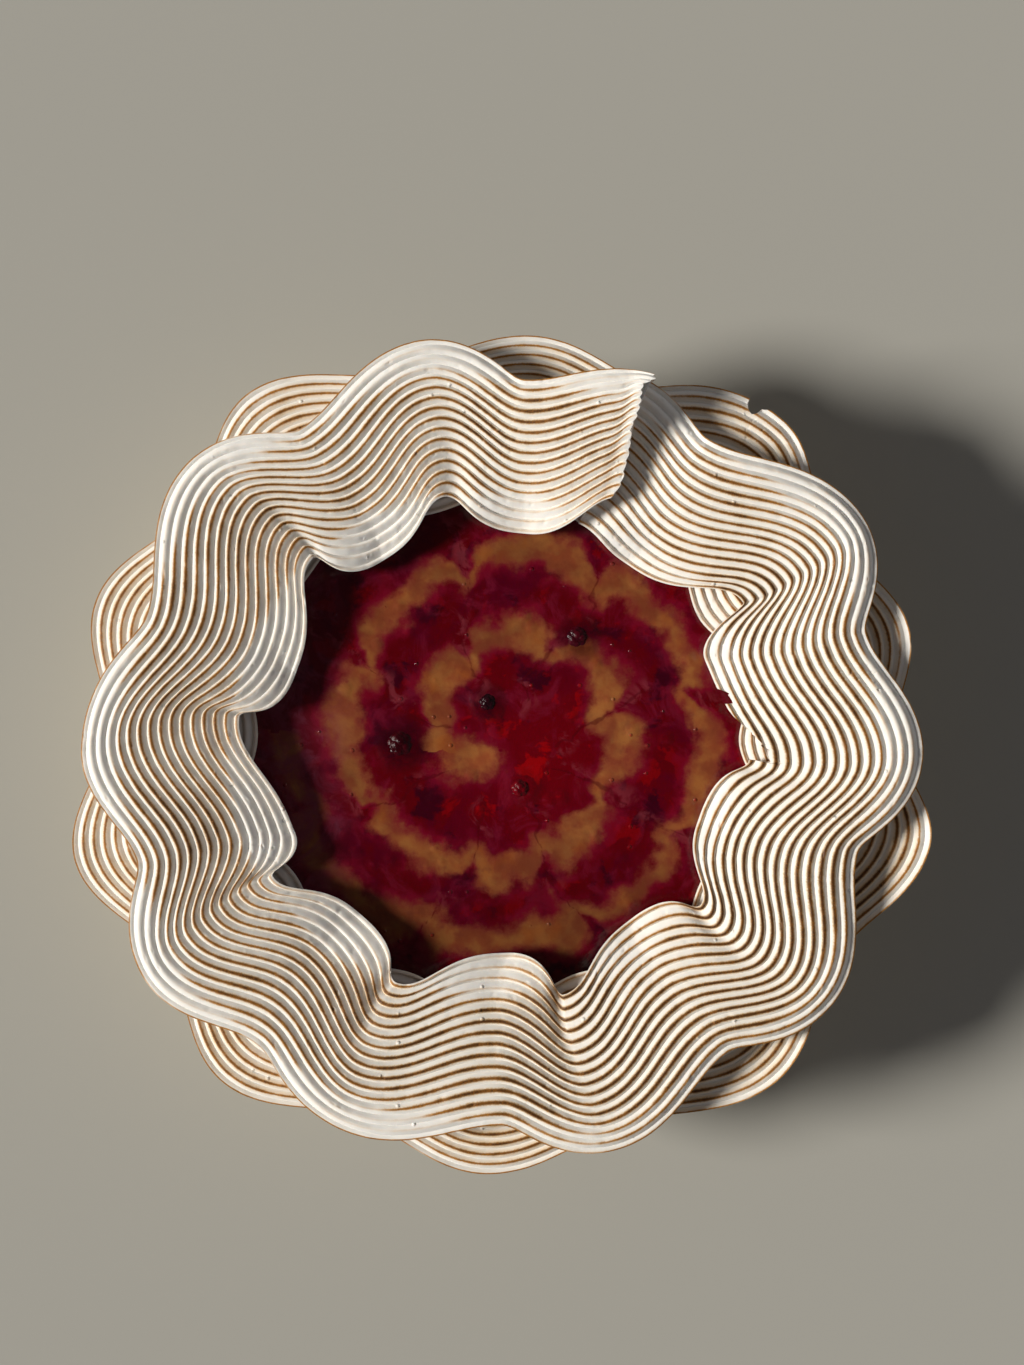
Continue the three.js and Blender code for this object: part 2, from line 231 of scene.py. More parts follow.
# %% Node helpers
class Nodes:
    def __init__(self, name):
        self.material = bpy.data.materials.new(name)
        self.material.use_nodes = True
        self.tree = self.material.node_tree
        self.shader = self.tree.nodes["Principled BSDF"]

    def add(self, kind, links=None, **settings):
        node = self.tree.nodes.new(kind)
        for key, value in settings.items():
            setattr(node, key, value)
        for socket, value in (links or {}).items():
            self.put(node.inputs[socket], value)
        return node

    def put(self, socket, value):
        if hasattr(value, "links"):
            self.tree.links.new(value, socket)
        else:
            socket.default_value = value

    def set(self, socket, value):
        self.put(self.shader.inputs[socket], value)

    def math(self, operation, a, b=0.0, c=0.0, clamp=False):
        node = self.add("ShaderNodeMath", {0: a, 1: b, 2: c}, operation=operation, use_clamp=clamp)
        return node.outputs[0]

    def times(self, a, b):
        return self.math("MULTIPLY", a, b)

    def plus(self, a, b):
        return self.math("ADD", a, b)

    def scale(self, value, factor, shift):
        return self.math("MULTIPLY_ADD", value, factor, shift)

    def ramp(self, value, low, high, to_low=0.0, to_high=1.0, kind="SMOOTHSTEP"):
        links = {"Value": value, "From Min": low, "From Max": high, "To Min": to_low, "To Max": to_high}
        return self.add("ShaderNodeMapRange", links, interpolation_type=kind).outputs["Result"]

    def noise(self, scale, detail=2.0, roughness=0.5, twist=0.0):
        links = {"Vector": self.place(), "Scale": scale, "Detail": detail}
        links.update({"Roughness": roughness, "Distortion": twist})
        return self.add("ShaderNodeTexNoise", links).outputs["Fac"]

    def dots(self, scale):
        """Scattered points: the distance to the nearest one, and a random colour that belongs to it."""
        node = self.add("ShaderNodeTexVoronoi", {"Vector": self.place(), "Scale": scale})
        split = self.add("ShaderNodeSeparateColor", {0: node.outputs["Color"]})
        return node.outputs["Distance"], split.outputs

    def place(self):
        return self.add("ShaderNodeTexCoord").outputs["Object"]

    def field(self, name):
        return self.add("ShaderNodeAttribute", attribute_name=name).outputs["Fac"]

    def blend(self, factor, a, b, kind="MIX"):
        node = self.add("ShaderNodeMix", data_type="RGBA", blend_type=kind)
        self.put(node.inputs["Factor"], factor)
        self.put(node.inputs["A"], a if hasattr(a, "links") else (*a, 1.0))
        self.put(node.inputs["B"], b if hasattr(b, "links") else (*b, 1.0))
        return node.outputs["Result"]

    def bump(self, height, strength, distance_mm, normal=None):
        links = {"Height": height, "Strength": strength, "Distance": distance_mm * MM}
        if normal is not None:
            links["Normal"] = normal
        return self.add("ShaderNodeBump", links).outputs["Normal"]

    def soften(self, weight, radius, depth_mm):
        """Light goes this deep into the surface, and each colour its own share of the way."""
        self.set("Subsurface Weight", weight)
        self.set("Subsurface Radius", radius)
        self.set("Subsurface Scale", depth_mm * MM)


def wear(piece, material):
    """Give a piece its finish."""
    piece.data.materials.append(material)
    print(f"{material.name}: {len(material.node_tree.nodes)} nodes")


print("words for nodes:", ", ".join(word for word in vars(Nodes) if not word.startswith("_")))

# %% [markdown]
# ## The ribbons' path
#
# A ribbon is a flat band whose ridges all follow the hand, which swings in and out as it goes round, so
# each ridge is a wave. Outside, the waves are broad and round. Towards the middle the same swing has less
# room, so the turns pinch until the innermost ridge bends round each notch like a hairpin. The pinch is a
# lean added to a plain sine: it holds the ridge back near an outward turn and hurries it round the lobe.
# It comes in mostly near the inner edge, so the ridges in the middle stay round. They turn a little
# before the two edges do, and swing a little wider.
#
# Each ridge could be drawn as a curve of its own. One rule for all sixteen keeps them side by side, as
# the comb tip does, and needs only the turning points. The upper ribbon's end was cut off slightly
# hollow, and its ridges gather towards the pointed outer corner.

# %% Where a point of a ribbon lies in plan
BROAD_LEAN_INSIDE = 0.2
INNER_PINCH = 0.8
PINCH_AT_MIDDLE = 0.3
HAIRPIN_ROUNDNESS = 0.25


def plan_point(ribbon, turn, across):
    """x and y in mm. turn counts the rows of turning points and across is 0 outside and 1 inside."""
    turns = np.array(ribbon["turns"])
    row = np.clip(np.floor(turn), 0, len(turns) - 2).astype(int)
    t = turn - row
    outward = (row + ribbon["first_swing"]) % 2 == 0
    from_notch = np.where(outward, t, 1 - t)
    a = turns[row]
    b = turns[row + 1]
    gathered = across ** (1 + ribbon["gather"] * smooth(0.3, 0, turn))
    broad = a[..., 5] + np.where(outward, ribbon["outer_lean"][0], ribbon["outer_lean"][1])
    broad = broad * mix(1, BROAD_LEAN_INSIDE, smooth(0, 0.25, gathered))
    inwards = PINCH_AT_MIDDLE * smooth(0, 0.5, gathered) + (1 - PINCH_AT_MIDDLE) * smooth(0.5, 1, gathered)
    pinch = mix(broad, INNER_PINCH * a[..., 4], inwards)
    hairpin = HAIRPIN_ROUNDNESS * a[..., 4] * smooth(0.35, 1, gathered)
    bend = pinch * np.sin(math.pi * from_notch) - hairpin / 3 * np.sin(3 * math.pi * from_notch)
    lean = bend / math.pi * np.where(outward, -1, 1)
    angle_a = mix(a[..., 0], a[..., 2], gathered)
    angle_b = mix(b[..., 0], b[..., 2], gathered)
    cut = ribbon["end_cut"] * smooth(0.25, 0, turn) * smooth(0, 0.14, gathered) * smooth(1, 0.45, gathered)
    swing = (1 + np.cos(math.pi * from_notch)) / 2
    early = ribbon["earliness"] * mix(1, 0.5, swing) * smooth(0, 0.5, gathered) * smooth(1, 0.85, gathered)
    angle = np.radians(angle_a + (angle_b - angle_a) * (t + lean) + cut - early * smooth(1, 2, turn))
    sharper = swing ** mix(1, ribbon["sharpness"], gathered)
    outer = np.where(outward, mix(b[..., 1], a[..., 1], swing), mix(a[..., 1], b[..., 1], swing))
    inner = np.where(outward, mix(b[..., 3], a[..., 3], sharper), mix(a[..., 3], b[..., 3], sharper))
    wider = ribbon["widening"] * (2 * swing - 1) * smooth(0, 0.35, gathered) * smooth(1, 0.6, gathered)
    radius = mix(outer - ribbon["inset"], inner, gathered) + wider
    return radius * np.cos(angle), radius * np.sin(angle)


start_x, start_y = plan_point(UPPER, np.array([0.0]), np.array([0.0]))
print(f"the upper ribbon's outer corner lies at {start_x[0]:.1f}, {start_y[0]:.1f} mm")

# %% [markdown]
# The upper ribbon is an arch across its width, its inner lobes drooping towards the jelly and its outer
# edge drooping a little. The spare length of the inner edge is taken up in a narrow crease beside each
# notch. The end of the ribbon lies on its start. The lower ribbon lies almost flat on the rim and droops
# a little outside it. On the right side the two outer edges have settled closer together: their shadows
# are shorter there.

# %% Heights of the ribbons
LOWER_TOP = CAKE_HEIGHT + FIT_GAP + 4.0
LOWER_SEAT = LOWER_TOP + FIT_GAP
LOWER_OUTER_DROOP = 1.8
UPPER_CROWN = CAKE_HEIGHT + 14.8
UPPER_CROWN_AT = 0.12
UPPER_OUTER_DROOP = 1.2
LOBE_DROOP = 8.7
INNER_CURVE = 1.25
NOTCH_DROOP = 3.8
CREASE_DEPTH = 1.4
END_LIFT = 5.0
END_LIP = 1.4
START_DIP = 2.7
START_EDGE_DIP = 2.6
CREASE_PLACE = 0.17
CREASE_WIDTH = 0.2
LOWER_EDGE_REACH = 0.35
SETTLED_REACH = 0.3
SETTLED_DROOP = 1.6
SETTLED_LIFT = 3.7


def settled(turn):
    """1 on the right side, where the ribbons' outer edges have settled closer together, else 0."""
    return smooth(11.5, 13.5, turn) * smooth(19.0, 17.8, turn)


def upper_height(turn, across):
    swing = (1 + np.cos(math.pi * turn)) / 2
    outside = np.maximum(0, UPPER_CROWN_AT - across) / UPPER_CROWN_AT
    inside = np.maximum(0, across - UPPER_CROWN_AT) / (1 - UPPER_CROWN_AT)
    inner_droop = mix(LOBE_DROOP, NOTCH_DROOP, swing**0.7)
    from_crease = (turn + CREASE_PLACE + 1) % 2 - 1
    crease = CREASE_DEPTH * np.exp(-((from_crease / CREASE_WIDTH) ** 2))
    crease = crease * smooth(0.35, 0.95, across)
    end_lift = END_LIFT * smooth(1.3, 0, turn) * mix(1, 0.93, across)
    end_lift = end_lift + END_LIP * smooth(0.2, 0, turn) * mix(1, 0.6, across)
    start_dip = START_DIP * smooth(18.9, 19.7, turn) * mix(1, 0.35, across)
    start_dip = start_dip + START_EDGE_DIP * smooth(18.5, 19.3, turn) * smooth(0.4, 0, across)
    outer_droop = UPPER_OUTER_DROOP * outside**2 * mix(0.6, 1.2, swing)
    settling = SETTLED_DROOP * np.maximum(0, 1 - across / SETTLED_REACH) ** 2 * settled(turn)
    inner_droop = inner_droop * inside**INNER_CURVE
    return UPPER_CROWN - outer_droop - settling - inner_droop - crease + end_lift - start_dip


def upper_underside(turn, across):
    edge = upper_height(turn, across) - RIBBON_THICKNESS
    bedded = smooth(0.1, 0.3, across) * smooth(0.86, 0.66, across) * smooth(0.5, 1.6, turn)
    return np.minimum(edge, mix(edge, LOWER_SEAT, bedded))


def lower_height(turn, across):
    outside = np.maximum(0, LOWER_EDGE_REACH - across) / LOWER_EDGE_REACH
    return LOWER_TOP + (SETTLED_LIFT * settled(turn) - LOWER_OUTER_DROOP) * outside**2


def lower_underside(turn, across):
    return lower_height(turn, across) - (LOWER_TOP - CAKE_HEIGHT - FIT_GAP)


print(f"the upper ribbon's crown stands {UPPER_CROWN - JELLY_TOP:.1f} mm above the jelly")

# %% [markdown]
# ## The ribbons' surface
#
# The teeth of the tip leave ridges like rounded roofs, side by side, with a sharp groove between two. Low
# light therefore shows each ridge as one bright flank and one shaded flank with a clean edge in the
# groove. Towards the inner edge the roofs lean over, so their outer flank is narrow and steep.
#
# A sheet with a pattern of bumps would look right from above only. Here the ridges are real: a section
# with ten points for each pitch is carried along the path, and its ends are closed.

# %% The section of a ribbon
PITCH_STEPS = [0.0, 0.08, 0.18, 0.30, 0.42, 0.5, 0.58, 0.70, 0.82, 0.92]
EDGE_WALL = [(0.0035, 0.12), (0.007, 0.45), (0.010, 0.8), (0.015, 1.0)]
ROOF_CURVE = 1.8
RIDGE_HEIGHT = 0.85
CREST_LEAN = (-0.05, 0.28)


def section_points():
    """Each point round the section: its place across, its share of the way down, 1 where grooved."""
    top = [(k + s) / PITCHES for k in range(PITCHES) for s in PITCH_STEPS] + [1.0]
    rows = [(a, 0.0, 1.0) for a in top]
    rows += [(1 - inset, down, 0.0) for inset, down in EDGE_WALL]
    rows += [(a, 1.0, 0.0) for a in np.linspace(0.93, 0.07, 13)]
    rows += [(inset, down, 0.0) for inset, down in reversed(EDGE_WALL)]
    return np.array(rows)


def crest_profile(across):
    """1 on a crest, falling along a rounded roof to 0 in a groove. Inner crests lean outwards."""
    lean = mix(*CREST_LEAN, across)
    place = across * PITCHES - np.round(across * PITCHES) + lean
    flank = np.where(place < 0, 0.5 - lean, 0.5 + lean)
    return 1 - (np.abs(place) / flank) ** ROOF_CURVE


print(f"a section has {len(section_points())} points")

# %% [markdown]
# Two places are broken, as on the real cake. In the upper ribbon's inner edge one ridge is torn off near
# a notch, which leaves a small recess and a thin spike beside it. Out of the lower ribbon's outer edge a
# round chip is missing. Faces cut away would leave the mesh open there. Instead the points of the inner
# or outer quarter slide together, so it stays whole.

# %% Broken edges
EDGE_QUARTER = 0.25
TORN_DEPTH = 0.105
RECESS_DEPTH = 0.05
TORN_ROUGHNESS = 0.16
CHIP_DEPTH = 0.078
CHIP_MIDDLE = 19.148
CHIP_HALF_LENGTH = 0.038
CHIP_SLOPE_DEPTH = 0.022


def torn_inner_edge(turn, across):
    towards_notch = TORN_DEPTH * smooth(16.55, 16.04, turn) * smooth(15.995, 16.005, turn)
    recess = RECESS_DEPTH * smooth(16.592, 16.604, turn) * smooth(16.745, 16.70, turn)
    rough = 1 + TORN_ROUGHNESS * soft_noise(turn * 60, 0 * turn, 1.0, 61)
    cut = 1 - (towards_notch + recess) * rough
    start = 1 - EDGE_QUARTER
    slide = np.maximum(0, across - start) / EDGE_QUARTER
    return np.where(across > start, start + slide * (cut - start), across)


def chipped_outer_edge(turn, across):
    from_middle = (turn - CHIP_MIDDLE) / CHIP_HALF_LENGTH
    hole = CHIP_DEPTH * np.sqrt(np.clip(1 - from_middle**2, 0, 1))
    slope = CHIP_SLOPE_DEPTH * smooth(19.150, 19.120, turn) * smooth(19.070, 19.112, turn)
    cut = np.maximum(hole, slope)
    slide = np.maximum(0, EDGE_QUARTER - across) / EDGE_QUARTER
    return np.where(across < EDGE_QUARTER, EDGE_QUARTER - slide * (EDGE_QUARTER - cut), across)


print(f"the chip is about {CHIP_DEPTH * (LOWER_LOBES[-1][1] - LOWER_INNER_NOTCH_RADIUS):.1f} mm deep")

# %% [markdown]
# A crest wavers a little in height, and here and there a burst bubble nicks it. The upper ribbon's cut
# end is ragged, one ridge a little longer than the next, and its inner corner is cut back.

# %% Uneven piping
END_FRILL = 0.035
END_CORNER = 0.10
CREST_WAVER = 0.10
FINE_WAVER = 0.06
NICK_DEPTH = 0.4
GROOVE_LEVEL = 0.08


def frilled_turn(turn, across, seed):
    frill = 0.5 + 0.5 * soft_noise(across * 11, 0 * across, 1.0, seed + 4)
    frill = frill + 0.5 * (1 - crest_profile(across))
    corner = np.clip((across - 0.86) / 0.14, 0, 1) ** 2
    return turn + smooth(0.7, 0.0, turn) * (END_FRILL * frill + END_CORNER * corner)


def depth_below_top(turn, across, x, y, seed):
    crest = crest_profile(across)
    crest_id = np.round(across * PITCHES)
    waver = CREST_WAVER * soft_noise(turn * 14, crest_id * 3.7, 1.0, seed)
    waver = waver + FINE_WAVER * soft_noise(x, y, 1.6, seed + 1)
    nick = NICK_DEPTH * smooth(0.72, 0.95, soft_noise(x, y, 0.9, seed + 2))
    return RIDGE_HEIGHT * (1 - crest) - crest * (waver - nick) + GROOVE_LEVEL


print(f"ridges {RIDGE_HEIGHT} mm high, nicked by up to {NICK_DEPTH} mm")

# %% [markdown]
# The finish needs to know where on the ribbon a point is, and no picture tells it. So each point of the
# mesh carries numbers for it: its place across, the swing of the hand, how much the torch got to it, and
# how far to the right it lies. The torch was held at the front right, so that side is darkest, and the
# two ends of the upper ribbon stayed pale.

# %% How far the torch got
TORCH_SIDE = math.radians(-30)
NEAR_TORCH_SIDE = math.radians(-48)
TORCH_START_SHARE = 0.55
NEAR_TORCH_GAIN = 0.2


def torch_fields(ribbon, turn, x, y, seed):
    """The torch's strength at each point, and 1 in the part that it browned most."""
    angle = np.arctan2(y, x)
    torch = 0.88 + 0.14 * np.cos(angle - TORCH_SIDE) + 0.14 * rough_noise(x, y, 26, seed + 3)
    torch = torch * mix(1, TORCH_START_SHARE, smooth(18.7, 19.3, turn) if ribbon is UPPER else 0)
    torch = torch * smooth(-0.05, 0.2, turn)
    near_torch = smooth(0.6, 0.93, np.cos(angle - NEAR_TORCH_SIDE))
    return torch + NEAR_TORCH_GAIN * near_torch, near_torch


print("the torch was held towards", round(math.degrees(NEAR_TORCH_SIDE)), "degrees")


# %% Build a ribbon
def ribbon_mesh(name, ribbon, height, underside, broken, along, seed):
    section = section_points()
    steps = len(along) - 1
    turn, across = np.meshgrid(along, section[:, 0], indexing="ij")
    down = np.broadcast_to(section[:, 1], turn.shape)
    grooved = np.broadcast_to(section[:, 2], turn.shape)
    across = broken(turn, across)
    turn = frilled_turn(turn, across, seed)
    x, y = plan_point(ribbon, turn, across)
    top = height(turn, across) - depth_below_top(turn, across, x, y, seed) * grooved
    z = mix(top, underside(turn, across), down)
    points = np.stack([x, y, z], axis=-1).reshape(-1, 3)
    ring = len(section)
    faces = grid_faces(steps + 1, ring, True)
    faces.append(list(range(ring)))
    faces.append([steps * ring + j for j in reversed(range(ring))])
    torch, near_torch = torch_fields(ribbon, turn, x, y, seed)
    fields = {"across": across, "on_top": grooved, "torch": torch, "near_torch": near_torch}
    fields["swing"] = np.cos(math.pi * (turn + ribbon["first_swing"]))
    fields["side"] = x / np.hypot(x, y)
    return make_mesh(name, points, faces, fields)


def rows_along(first, last, steps, *finer):
    return np.unique(np.concatenate([np.linspace(first, last, steps), *finer]))


upper_along = rows_along(0, 20, 1081, np.linspace(16.5, 16.8, 46), [15.995, 16.005])
lower_along = rows_along(0.07, 19.93, 760, np.linspace(19.05, 19.2, 40))
upper = ribbon_mesh(
    "upper_ruffle", UPPER, upper_height, upper_underside, torn_inner_edge, upper_along, seed=5
)
lower = ribbon_mesh(
    "lower_ruffle", LOWER, lower_height, lower_underside, chipped_outer_edge, lower_along, seed=9
)
for piece, node in ((upper, "ruffle_upper"), (lower, "ruffle_lower")):
    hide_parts(node)
    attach(piece, "root")
print(f"ruffles: {len(upper.data.polygons)} and {len(lower.data.polygons)} faces")

# %% [markdown]
# ## Toasted meringue
#
# Meringue is a matt foam, warm white. The torch only reaches what stands up, so the brown runs in thin
# lines along the crests, from pale tan at the free edges to dark brown in the middle of the ribbon, and
# the darkest parts are grainy where small bubbles have burnt. The brown could be painted on by hand. It
# is drawn by rule instead, so that it follows every ridge. First comes the distance to the nearest crest,
# a little wandering and frayed.

# %% Distance to the nearest crest
LINE_WANDER = 0.10
LINE_FRAY = 0.16


def crest_distance(n, across, grain):
    """0 on a crest and 0.5 in a groove, in pitches."""
    pitch = PITCHES + CREST_LEAN[1] - CREST_LEAN[0]
    distance = n.math("PINGPONG", n.scale(across, pitch, CREST_LEAN[0]), 0.5)
    wander = n.scale(n.noise(420, 3.0), LINE_WANDER, -LINE_WANDER / 2)
    frayed = n.scale(grain, LINE_FRAY, -LINE_FRAY / 2)
    return n.math("MAXIMUM", n.plus(n.plus(distance, wander), frayed), 0.0)


print(f"a brown line wanders over {LINE_WANDER} of a pitch")

# %% [markdown]
# Next comes how brown a line is. The outermost ridges of an outward lobe and the innermost ridges of an
# inward lobe stay almost white, so the brown lies in a band between them that swings with the hand. Where
# the torch was near, the white part is narrower. Even the white ridges have a faint line, more so on the
# right.


# %% How brown a ridge is
def browned_band(n, across, swing, side, white_lobe):
    """1 in the browned middle of the ribbon and 0 on the white ridges near both edges."""
    outer_white = n.scale(swing, white_lobe, 0.02)
    outer_white = n.scale(side, 0.03, outer_white)
    outer_white = n.times(outer_white, n.scale(n.field("near_torch"), -0.5, 1.0))
    outer_start = n.scale(outer_white, 0.5, -0.03)
    outer = n.ramp(across, outer_start, n.plus(outer_white, 0.10))
    inner_white = n.scale(swing, 0.30, 0.62)
    inner_white = n.scale(side, 0.09, inner_white)
    inner = n.ramp(across, inner_white, n.plus(inner_white, 0.20), 1.0, 0.0)
    return n.times(outer, inner)


def faint_lines(n, across, swing, side):
    least = n.times(n.ramp(across, 0.35, 0.75), n.scale(swing, 0.20, 0.10))
    least = n.plus(least, n.ramp(across, 0.12, 0.40, 0.16, 0.04))
    outer_least = n.ramp(across, 0.2, 0.5, 0.24, 0.0)
    least = n.plus(least, n.times(n.field("near_torch"), outer_least))
    inner_least = n.ramp(across, 0.5, 0.85, 0.0, 0.36)
    return n.math("MAXIMUM", least, n.times(n.ramp(side, -1.0, 0.9, 0.25, 1.0), inner_least))


def browned_rim(n, across, patch):
    outer_rim = n.times(n.ramp(across, 0.004, 0.016, 1.0, 0.0), n.ramp(patch, 0.3, 0.5, 0.4, 0.9))
    inner_rim = n.times(n.ramp(across, 0.984, 0.996), n.ramp(patch, 0.4, 0.6, 0.0, 0.7))
    return n.times(n.math("MAXIMUM", outer_rim, inner_rim), 0.55)


def toast_amount(n, across, strength, white_lobe):
    swing = n.ramp(n.field("swing"), -1, 1, kind="LINEAR")
    side = n.field("side")
    patch = n.noise(55, 3.0, 0.55)
    patchy = n.times(n.ramp(patch, 0.3, 0.68, 0.55, 1.15, "LINEAR"), n.field("torch"))
    band = browned_band(n, across, swing, side, white_lobe)
    toast = n.times(n.math("MAXIMUM", band, faint_lines(n, across, swing, side)), patchy)
    toast = n.times(toast, n.ramp(n.noise(140, 4.0, 0.6), 0.32, 0.68, 0.72, 1.22, "LINEAR"))
    toast = n.math("MULTIPLY", toast, strength, clamp=True)
    return n.math("MAXIMUM", toast, browned_rim(n, across, patch))


print("the brown depends on the place across, the swing, the side and the torch")

# %% [markdown]
# The colours go from white foam through a soft tan glow round each line to four browns. The browner a
# line is, the wider it is. The finish lets a little light in, as foam does, and is rougher where it is
# white. Small pores and a few round blisters are left to bump, because they are finer than the mesh.

# %% Meringue colours and skin
WHITE_FOAM = [(0.88, 0.86, 0.82), (0.915, 0.90, 0.87)]
TAN_GLOW = (0.81, 0.57, 0.29)
BROWNS = [(0.68, 0.38, 0.12), (0.43, 0.185, 0.030), (0.235, 0.088, 0.010), (0.085, 0.028, 0.003)]
BROWN_STEPS = [(0.0, 0.40), (0.35, 0.75), (0.75, 1.1)]
WALL_TAN = (0.58, 0.36, 0.17)
FOAM_GLOW = (1.0, 0.85, 0.7)
FOAM_GLOW_MM = 1.3


def brown_line(n, toast, distance, top):
    width = n.scale(toast, 0.17, 0.11)
    line = n.ramp(distance, n.times(width, 0.25), width, 1.0, 0.0)
    line = n.times(line, n.ramp(toast, 0.02, 0.40, 0.0, 1.0))
    return n.times(line, top)


def brown_colour(n, toast, distance, grain):
    depth = n.plus(toast, n.scale(grain, 1.3, -0.56))
    depth = n.math("SUBTRACT", depth, n.times(distance, 0.9))
    brown = BROWNS[0]
    for darker, (start, end) in zip(BROWNS[1:], BROWN_STEPS):
        brown = n.blend(n.ramp(depth, start, end), brown, darker)
    return brown


def foam_skin(n, grain, line):
    pores = n.plus(n.noise(1500, 3.0, 0.6), n.times(grain, n.times(line, 1.6)))
    gap, random = n.dots(230.0)
    dome = n.times(n.ramp(gap, 0.03, 0.16, 1.0, 0.0), n.ramp(random[0], 0.78, 0.84))
    return n.bump(dome, 0.8, 0.45, n.bump(pores, 0.4, 0.12))


def meringue_material(name, strength, halo, reach, white_lobe):
    """halo is the tan glow's strength, reach its width, and white_lobe how far in a lobe stays white."""
    n = Nodes(name)
    across = n.field("across")
    top = n.ramp(n.field("on_top"), 0.2, 0.8)
    grain = n.noise(2300, 2.0, 0.6)
    distance = crest_distance(n, across, grain)
    toast = toast_amount(n, across, strength, white_lobe)
    line = brown_line(n, toast, distance, top)
    glow = n.times(n.ramp(distance, 0.08, reach, 1.0, 0.30 * reach), toast)
    glow = n.times(n.times(glow, halo), top)
    tinted = n.blend(glow, n.blend(n.noise(160, 2.0), *WHITE_FOAM), TAN_GLOW)
    colour = n.blend(line, tinted, brown_colour(n, toast, distance, grain))
    wall = n.math("SUBTRACT", 1.0, top, clamp=True)
    colour = n.blend(n.times(wall, 0.5), colour, WALL_TAN)
    n.set("Base Color", colour)
    n.set("Roughness", n.ramp(line, 0, 1, 0.7, 0.5, "LINEAR"))
    n.set("Specular IOR Level", 0.3)
    n.soften(0.2, FOAM_GLOW, FOAM_GLOW_MM)
    n.set("Normal", foam_skin(n, grain, line))
    return n.material


wear(upper, meringue_material("toasted_meringue_upper", 1.0, halo=1.15, reach=0.36, white_lobe=0.29))
wear(lower, meringue_material("toasted_meringue_lower", 0.85, halo=1.05, reach=0.5, white_lobe=0.0))

# %% [markdown]
# ## The jelly
#
# Curd was piped on the crimson jelly as one long spiral, and a skewer was then drawn from the rim to the
# middle along eight lines, which dragged each arm of the spiral inward and left a thin dark line. The
# spiral's radius is given at each crossing between two lines. Each point of the jelly gets two numbers
# from this: how far inside the curd it is, and how far from the nearest line. Noise alone would make
# swirls too, but not a spiral with drawn points. So noise only bends the course a little and frays its
# edge.

# %% The marbling's course
SKEWER_ANGLES = [16.0, 62.6, 106.0, 150.0, 199.5, 250.0, 296.5, 338.4]
SPIRAL_LAPS = 4
SPIRAL = [
    (175.0, 57.0), (225.0, 54.8), (273.0, 50.0), (317.5, 51.8), (357.0, 54.8), (399.0, 55.0),
    (444.0, 53.6), (488.0, 47.4), (535.0, 41.6), (585.0, 35.4), (633.0, 32.2), (677.0, 30.3),
    (717.0, 32.6), (759.0, 34.4), (804.0, 31.6), (848.0, 25.0), (880.0, 18.5), (900.0, 15.5),
]
CURD_HALF_WIDTH = 4.3
DRAG_DEPTH = 5.0
DRAG_REACH = 3.2
PATCH_PLACE = (-9.2, -2.2)
PATCH_HALF = (8.4, 6.2)


def angle_gap(a, b):
    """Signed difference of two angles in degrees, from -180 to 180."""
    return (a - b + 180) % 360 - 180


def wobble(x, y, seed):
    """How far a point is shifted, in mm, so that no edge of the curd is smooth."""
    return 2.2 * rough_noise(x, y, 10, seed) + 1.8 * rough_noise(x, y, 4.5, seed + 1)


def skewer_distance(angle, radius):
    """Distance in mm from the nearest skewer line. A hand draws each line a little bent."""
    gap = np.full(angle.shape, 180.0)
    for line in SKEWER_ANGLES:
        bent = line + 5 * np.sin(radius / 9 + line)
        gap = np.minimum(gap, np.abs(angle_gap(angle, bent)))
    return gap * np.pi / 180 * radius


def jelly_fields(x, y):
    """How far inside the curd a point is, and its distance from the nearest skewer line, in mm."""
    wobble_x = x + wobble(x, y, 11)
    wobble_y = y + wobble(x, y, 15)
    radius = np.hypot(wobble_x, wobble_y)
    angle = np.degrees(np.arctan2(wobble_y, wobble_x)) % 360
    skewer = skewer_distance(angle, radius)
    spiral_angles, spiral_radii = np.array(SPIRAL).T
    dragged = DRAG_DEPTH * np.exp(-((skewer / DRAG_REACH) ** 2)) * smooth(6, 30, radius)
    # The spiral's inner end is a separate patch.
    off = np.hypot((wobble_x - PATCH_PLACE[0]) / PATCH_HALF[0], (wobble_y - PATCH_PLACE[1]) / PATCH_HALF[1])
    inside = PATCH_HALF[1] * (1 - off)
    for lap in range(SPIRAL_LAPS):
        unwrapped = angle + 360 * lap
        on_spiral = (unwrapped > spiral_angles[0]) & (unwrapped < spiral_angles[-1])
        middle = np.interp(unwrapped, spiral_angles, spiral_radii) - dragged
        width = CURD_HALF_WIDTH * (1 + 0.35 * soft_noise(unwrapped / 17, 0 * x, 1.0, 21))
        width = width * mix(0.6, 1.0, smooth(0.0, 2.5, skewer))
        inside = np.where(on_spiral, np.maximum(inside, width - np.abs(radius - middle)), inside)
    return inside, skewer


print(f"the spiral goes round {(SPIRAL[-1][0] - SPIRAL[0][0]) / 360:.1f} times")

# %% [markdown]
# Lumps of fruit raise the surface a little, and it swells round each berry. These forms catch the low
# light, so they are real geometry. A berry also stains the jelly round it.

# %% Berries' places and the jelly's lumps
BERRY_STAIN = {"berry_left": 1.0, "berry_upper": 0.75, "berry_middle": 0.7, "berry_lower": 0.1}
LUMP_COUNT = 90
LUMP_SIZES = (0.8, 2.4)
LUMP_STEEPNESS = 0.16
BERRY_SWELL = 0.6
BERRY_SPOTS = []
for node, stain in BERRY_STAIN.items():
    low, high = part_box(node)
    spot = ((low.x + high.x) / 2 / MM, (low.y + high.y) / 2 / MM, (high.x - low.x) / 2 / MM)
    BERRY_SPOTS.append((*spot, stain))


